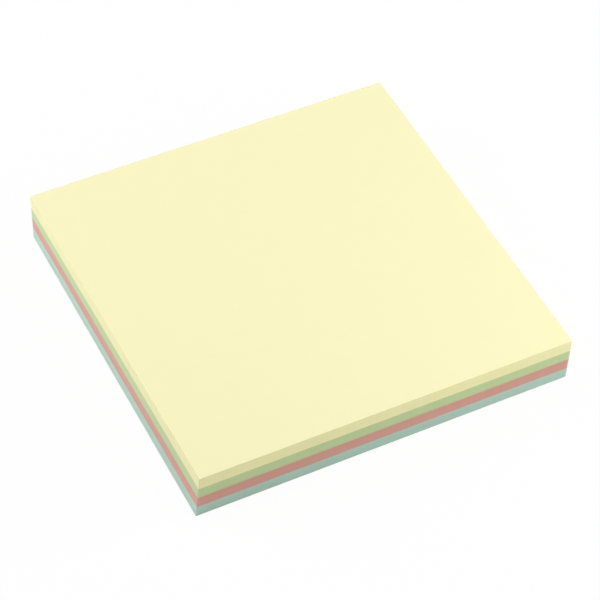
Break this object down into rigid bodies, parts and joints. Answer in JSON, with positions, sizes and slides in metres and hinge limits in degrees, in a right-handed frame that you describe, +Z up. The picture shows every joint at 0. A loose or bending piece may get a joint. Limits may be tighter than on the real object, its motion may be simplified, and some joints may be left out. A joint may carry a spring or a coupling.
{
  "type": "sticky note pad",
  "caption": "Square pad of plain pastel sticky notes in stacked colour bands, glued lightly along one edge, for jotting on and peeling off.",
  "frame": {"origin": "middle of the flat underside, which is the face that the pad rests on", "axes": "+Z up out of the pad; the glued edge faces -X and Y runs along it"},
  "size_m": [0.0756, 0.0756, 0.0118],
  "materials": {
    "yellow_paper": "matt uncoated pale yellow paper with a faint fibre texture and cut edges",
    "green_paper": "matt uncoated pale green paper, seen at its cut edges",
    "pink_paper": "matt uncoated salmon pink paper, seen at its cut edges",
    "blue_paper": "matt uncoated pale blue-green paper, seen at its cut edges and underneath",
    "liner_paper": "smooth off-white release paper with a low silicone sheen"
  },
  "bodies": {
    "root": {"yellow_sheets": "yellow_paper", "green_sheets": "green_paper", "pink_sheets": "pink_paper", "blue_sheets": "blue_paper", "release_liner": "liner_paper"}
  },
  "joints": []
}
